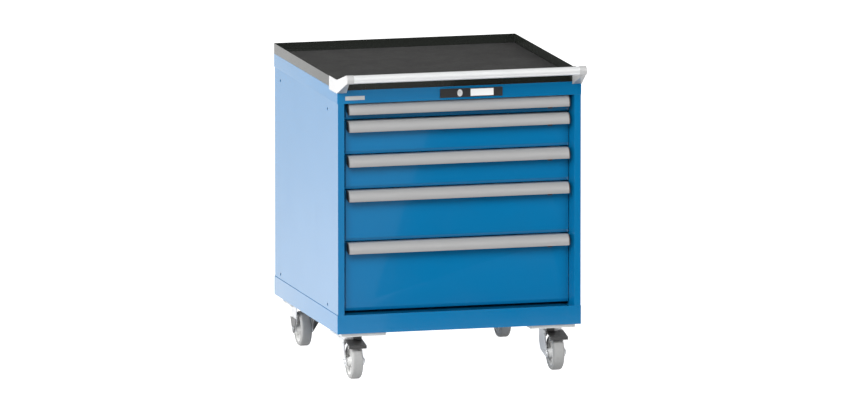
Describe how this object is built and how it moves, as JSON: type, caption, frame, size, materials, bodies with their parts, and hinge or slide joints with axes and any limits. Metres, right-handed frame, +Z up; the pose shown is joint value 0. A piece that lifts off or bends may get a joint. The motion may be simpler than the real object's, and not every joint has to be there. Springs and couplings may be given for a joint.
{
  "type": "mobile drawer workbench",
  "caption": "Mobile steel workbench: a cabinet of full-extension drawers on castors, with a rimmed, rubber-matted worktop, a central lock and a front push bar.",
  "frame": {"origin": "on the floor, under the middle of the object's box", "axes": "+X to the right seen from the drawers' side, -Y to the front where the drawers open, +Z up"},
  "size_m": [0.723, 0.811, 0.893],
  "materials": {
    "blue_enamel": "semi-gloss powder coat, fine orange peel",
    "drawer_steel": "light grey satin powder coat",
    "handle_aluminium": "satin anodised extrusion",
    "black_plastic": "moulded, fine grain",
    "zinc_steel": "bright zinc plate",
    "black_enamel": "black semi-gloss powder coat",
    "mat_rubber": "fine diagonal ribs",
    "bar_aluminium": "polished tube",
    "silver_enamel": "silver coated die casting",
    "label_paper": "plain white card",
    "lock_chrome": "nickel plated",
    "plate_enamel": "light grey coat",
    "black_steel": "black coated steel",
    "grey_tyre": "non-marking grey rubber",
    "wheel_nylon": "light grey nylon"
  },
  "bodies": {
    "cabinet": {"back_panel": "blue_enamel", "bar_brackets": "silver_enamel", "base_plinth": "blue_enamel", "cabinet_runners": "zinc_steel", "castor_bolts": "zinc_steel", "castor_mount_plates": "plate_enamel", "label_card": "label_paper", "lock_bar_guides": "zinc_steel", "lock_plate": "black_plastic", "push_bar": "bar_aluminium", "rear_axles": "zinc_steel", "rear_castor_brackets": "zinc_steel", "rear_castor_cheeks": "black_steel", "ribbed_mat": "mat_rubber", "side_panel_left": "blue_enamel", "side_panel_right": "blue_enamel", "swivel_heads": "zinc_steel", "top_frame": "blue_enamel", "worktop_tray": "black_enamel"},
    "lock_cylinder": {"lock_cylinder": "lock_chrome"},
    "lock_bar": {"lock_bar": "zinc_steel"},
    "drawer_1": {"drawer_1_box": "drawer_steel", "drawer_1_front": "blue_enamel", "drawer_1_handle": "handle_aluminium"},
    "latch_1": {"drawer_1_latch": "black_plastic"},
    "slide_1": {"slide_1_middle": "zinc_steel"},
    "drawer_2": {"drawer_2_box": "drawer_steel", "drawer_2_front": "blue_enamel", "drawer_2_handle": "handle_aluminium"},
    "latch_2": {"drawer_2_latch": "black_plastic"},
    "slide_2": {"slide_2_middle": "zinc_steel"},
    "drawer_3": {"drawer_3_box": "drawer_steel", "drawer_3_front": "blue_enamel", "drawer_3_handle": "handle_aluminium"},
    "latch_3": {"drawer_3_latch": "black_plastic"},
    "slide_3": {"slide_3_middle": "zinc_steel"},
    "drawer_4": {"drawer_4_box": "drawer_steel", "drawer_4_front": "blue_enamel", "drawer_4_handle": "handle_aluminium"},
    "latch_4": {"drawer_4_latch": "black_plastic"},
    "slide_4": {"slide_4_middle": "zinc_steel"},
    "drawer_5": {"drawer_5_box": "drawer_steel", "drawer_5_front": "blue_enamel", "drawer_5_handle": "handle_aluminium"},
    "latch_5": {"drawer_5_latch": "black_plastic"},
    "slide_5": {"slide_5_middle": "zinc_steel"},
    "fork_left": {"castor_fork_left": "zinc_steel", "front_axle_left": "zinc_steel"},
    "pedal_left": {"brake_pedal_left": "black_steel"},
    "front_wheel_left": {"front_wheel_left": "wheel_nylon", "front_tyre_left": "grey_tyre"},
    "rear_wheel_left": {"rear_wheel_left": "wheel_nylon", "rear_tyre_left": "grey_tyre"},
    "fork_right": {"castor_fork_right": "zinc_steel", "front_axle_right": "zinc_steel"},
    "pedal_right": {"brake_pedal_right": "black_steel"},
    "front_wheel_right": {"front_wheel_right": "wheel_nylon", "front_tyre_right": "grey_tyre"},
    "rear_wheel_right": {"rear_wheel_right": "wheel_nylon", "rear_tyre_right": "grey_tyre"}
  },
  "joints": [
    {"name": "drawer_1_pull", "type": "slide", "parent": "cabinet", "child": "drawer_1", "axis": [0, -1, 0], "range_m": [0, 0.6]},
    {"name": "slide_1_extend", "type": "slide", "parent": "cabinet", "child": "slide_1", "axis": [0, -1, 0], "range_m": [0, 0.3]},
    {"name": "latch_1_press", "type": "slide", "parent": "drawer_1", "child": "latch_1", "axis": [1, 0, 0], "range_m": [0, 0.006], "stiffness_N_per_m": 200},
    {"name": "drawer_2_pull", "type": "slide", "parent": "cabinet", "child": "drawer_2", "axis": [0, -1, 0], "range_m": [0, 0.6]},
    {"name": "slide_2_extend", "type": "slide", "parent": "cabinet", "child": "slide_2", "axis": [0, -1, 0], "range_m": [0, 0.3]},
    {"name": "latch_2_press", "type": "slide", "parent": "drawer_2", "child": "latch_2", "axis": [1, 0, 0], "range_m": [0, 0.006], "stiffness_N_per_m": 200},
    {"name": "drawer_3_pull", "type": "slide", "parent": "cabinet", "child": "drawer_3", "axis": [0, -1, 0], "range_m": [0, 0.6]},
    {"name": "slide_3_extend", "type": "slide", "parent": "cabinet", "child": "slide_3", "axis": [0, -1, 0], "range_m": [0, 0.3]},
    {"name": "latch_3_press", "type": "slide", "parent": "drawer_3", "child": "latch_3", "axis": [1, 0, 0], "range_m": [0, 0.006], "stiffness_N_per_m": 200},
    {"name": "drawer_4_pull", "type": "slide", "parent": "cabinet", "child": "drawer_4", "axis": [0, -1, 0], "range_m": [0, 0.6]},
    {"name": "slide_4_extend", "type": "slide", "parent": "cabinet", "child": "slide_4", "axis": [0, -1, 0], "range_m": [0, 0.3]},
    {"name": "latch_4_press", "type": "slide", "parent": "drawer_4", "child": "latch_4", "axis": [1, 0, 0], "range_m": [0, 0.006], "stiffness_N_per_m": 200},
    {"name": "drawer_5_pull", "type": "slide", "parent": "cabinet", "child": "drawer_5", "axis": [0, -1, 0], "range_m": [0, 0.6]},
    {"name": "slide_5_extend", "type": "slide", "parent": "cabinet", "child": "slide_5", "axis": [0, -1, 0], "range_m": [0, 0.3]},
    {"name": "latch_5_press", "type": "slide", "parent": "drawer_5", "child": "latch_5", "axis": [1, 0, 0], "range_m": [0, 0.006], "stiffness_N_per_m": 200},
    {"name": "lock_turn", "type": "hinge", "parent": "cabinet", "child": "lock_cylinder", "pos_m": [0, -0.3195, 0.819], "axis": [0, 1, 0], "range_deg": [0, 90]},
    {"name": "lock_bar_lift", "type": "slide", "parent": "cabinet", "child": "lock_bar", "axis": [0, 0, 1], "range_m": [0, 0.006]},
    {"name": "castor_swivel_left", "type": "hinge", "parent": "cabinet", "child": "fork_left", "pos_m": [-0.2963, -0.2265, 0.112], "axis": [0, 0, 1], "continuous": true},
    {"name": "brake_press_left", "type": "hinge", "parent": "fork_left", "child": "pedal_left", "pos_m": [-0.2963, -0.2455, 0.101], "axis": [1, 0, 0], "range_deg": [0, 11]},
    {"name": "front_wheel_spin_left", "type": "hinge", "parent": "fork_left", "child": "front_wheel_left", "pos_m": [-0.2963, -0.2648, 0.05], "axis": [1, 0, 0], "continuous": true},
    {"name": "rear_wheel_spin_left", "type": "hinge", "parent": "cabinet", "child": "rear_wheel_left", "pos_m": [-0.2963, 0.3165, 0.05], "axis": [1, 0, 0], "continuous": true},
    {"name": "castor_swivel_right", "type": "hinge", "parent": "cabinet", "child": "fork_right", "pos_m": [0.2963, -0.2265, 0.112], "axis": [0, 0, 1], "continuous": true},
    {"name": "brake_press_right", "type": "hinge", "parent": "fork_right", "child": "pedal_right", "pos_m": [0.2963, -0.2455, 0.101], "axis": [1, 0, 0], "range_deg": [0, 11]},
    {"name": "front_wheel_spin_right", "type": "hinge", "parent": "fork_right", "child": "front_wheel_right", "pos_m": [0.2963, -0.2648, 0.05], "axis": [1, 0, 0], "continuous": true},
    {"name": "rear_wheel_spin_right", "type": "hinge", "parent": "cabinet", "child": "rear_wheel_right", "pos_m": [0.2963, 0.3165, 0.05], "axis": [1, 0, 0], "continuous": true}
  ],
  "couplings": [
    {"joint": "slide_1_extend", "follows": "drawer_1_pull", "ratio": 0.5},
    {"joint": "slide_2_extend", "follows": "drawer_2_pull", "ratio": 0.5},
    {"joint": "slide_3_extend", "follows": "drawer_3_pull", "ratio": 0.5},
    {"joint": "slide_4_extend", "follows": "drawer_4_pull", "ratio": 0.5},
    {"joint": "slide_5_extend", "follows": "drawer_5_pull", "ratio": 0.5},
    {"joint": "lock_turn", "follows": "lock_bar_lift", "rad_per_m": 261.8}
  ]
}
